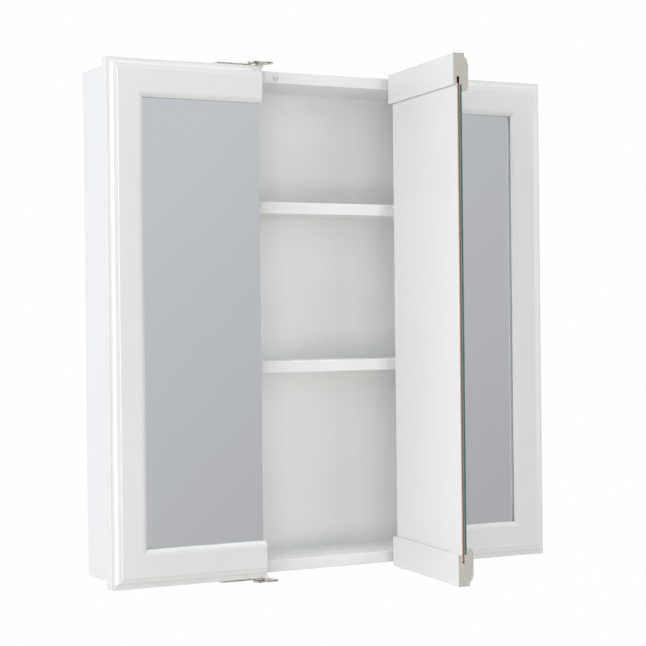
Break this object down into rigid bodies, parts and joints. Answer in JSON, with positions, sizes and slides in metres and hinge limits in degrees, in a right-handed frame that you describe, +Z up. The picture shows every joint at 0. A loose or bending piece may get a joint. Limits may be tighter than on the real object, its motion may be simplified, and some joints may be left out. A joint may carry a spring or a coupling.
{
  "type": "medicine cabinet",
  "caption": "White framed surface-mount medicine cabinet with mirror doors on pivot hinges over an open box with fixed shelves, shown with the middle door open.",
  "frame": {"origin": "centre of the wall screw pattern, on the back face that lies on the wall", "axes": "+X to the right seen from the front, +Y into the wall, +Z up"},
  "size_m": [0.6096, 0.3086, 0.6348],
  "materials": {
    "white_board": "white laminate, satin",
    "white_frame": "white film on moulded fibreboard, satin",
    "mirror_glass": "silvered glass",
    "hardboard": "hardboard, white on its face and brown at its edges",
    "hinge_steel": "nickel plated",
    "dowel_wood": "plain beech",
    "bumper_rubber": "translucent white"
  },
  "bodies": {
    "cabinet": {"left_side_panel": "white_board", "right_side_panel": "white_board", "top_panel": "white_board", "bottom_panel": "white_board", "back_panel": "white_board", "lower_shelf": "white_board", "upper_shelf": "white_board", "carcass_dowels": "dowel_wood", "door_bumpers": "bumper_rubber", "left_top_hinge_plate": "hinge_steel", "left_bottom_hinge_plate": "hinge_steel", "right_top_hinge_plate": "hinge_steel", "right_bottom_hinge_plate": "hinge_steel", "hinge_plate_screws": "hinge_steel", "hinge_pivots": "hinge_steel", "hinge_washers": "hinge_steel"},
    "left_door": {"left_door_stile": "white_frame", "left_door_top_rail": "white_frame", "left_door_bottom_rail": "white_frame", "left_door_mirror": "mirror_glass", "left_door_backer": "hardboard", "left_door_top_leaf": "hinge_steel", "left_door_bottom_leaf": "hinge_steel", "left_door_leaf_screws": "hinge_steel"},
    "right_door": {"right_door_stile": "white_frame", "right_door_top_rail": "white_frame", "right_door_bottom_rail": "white_frame", "right_door_mirror": "mirror_glass", "right_door_backer": "hardboard", "right_door_top_leaf": "hinge_steel", "right_door_bottom_leaf": "hinge_steel", "right_door_leaf_screws": "hinge_steel"},
    "center_door": {"center_door_top_rail": "white_frame", "center_door_bottom_rail": "white_frame", "center_door_mirror": "mirror_glass", "center_door_backer": "hardboard", "center_door_top_leaf": "hinge_steel", "center_door_bottom_leaf": "hinge_steel", "center_door_leaf_screws": "hinge_steel"}
  },
  "joints": [
    {"name": "left_door_hinge", "type": "hinge", "parent": "cabinet", "child": "left_door", "pos_m": [-0.1109, -0.11925, 0], "axis": [0, 0, 1], "range_deg": [0, 90]},
    {"name": "center_door_hinge", "type": "hinge", "parent": "cabinet", "child": "center_door", "pos_m": [0.0923, -0.11925, 0], "axis": [0, 0, 1], "range_deg": [-82.5, 7.5]},
    {"name": "right_door_hinge", "type": "hinge", "parent": "cabinet", "child": "right_door", "pos_m": [0.1109, -0.11925, 0], "axis": [0, 0, -1], "range_deg": [0, 90]}
  ]
}
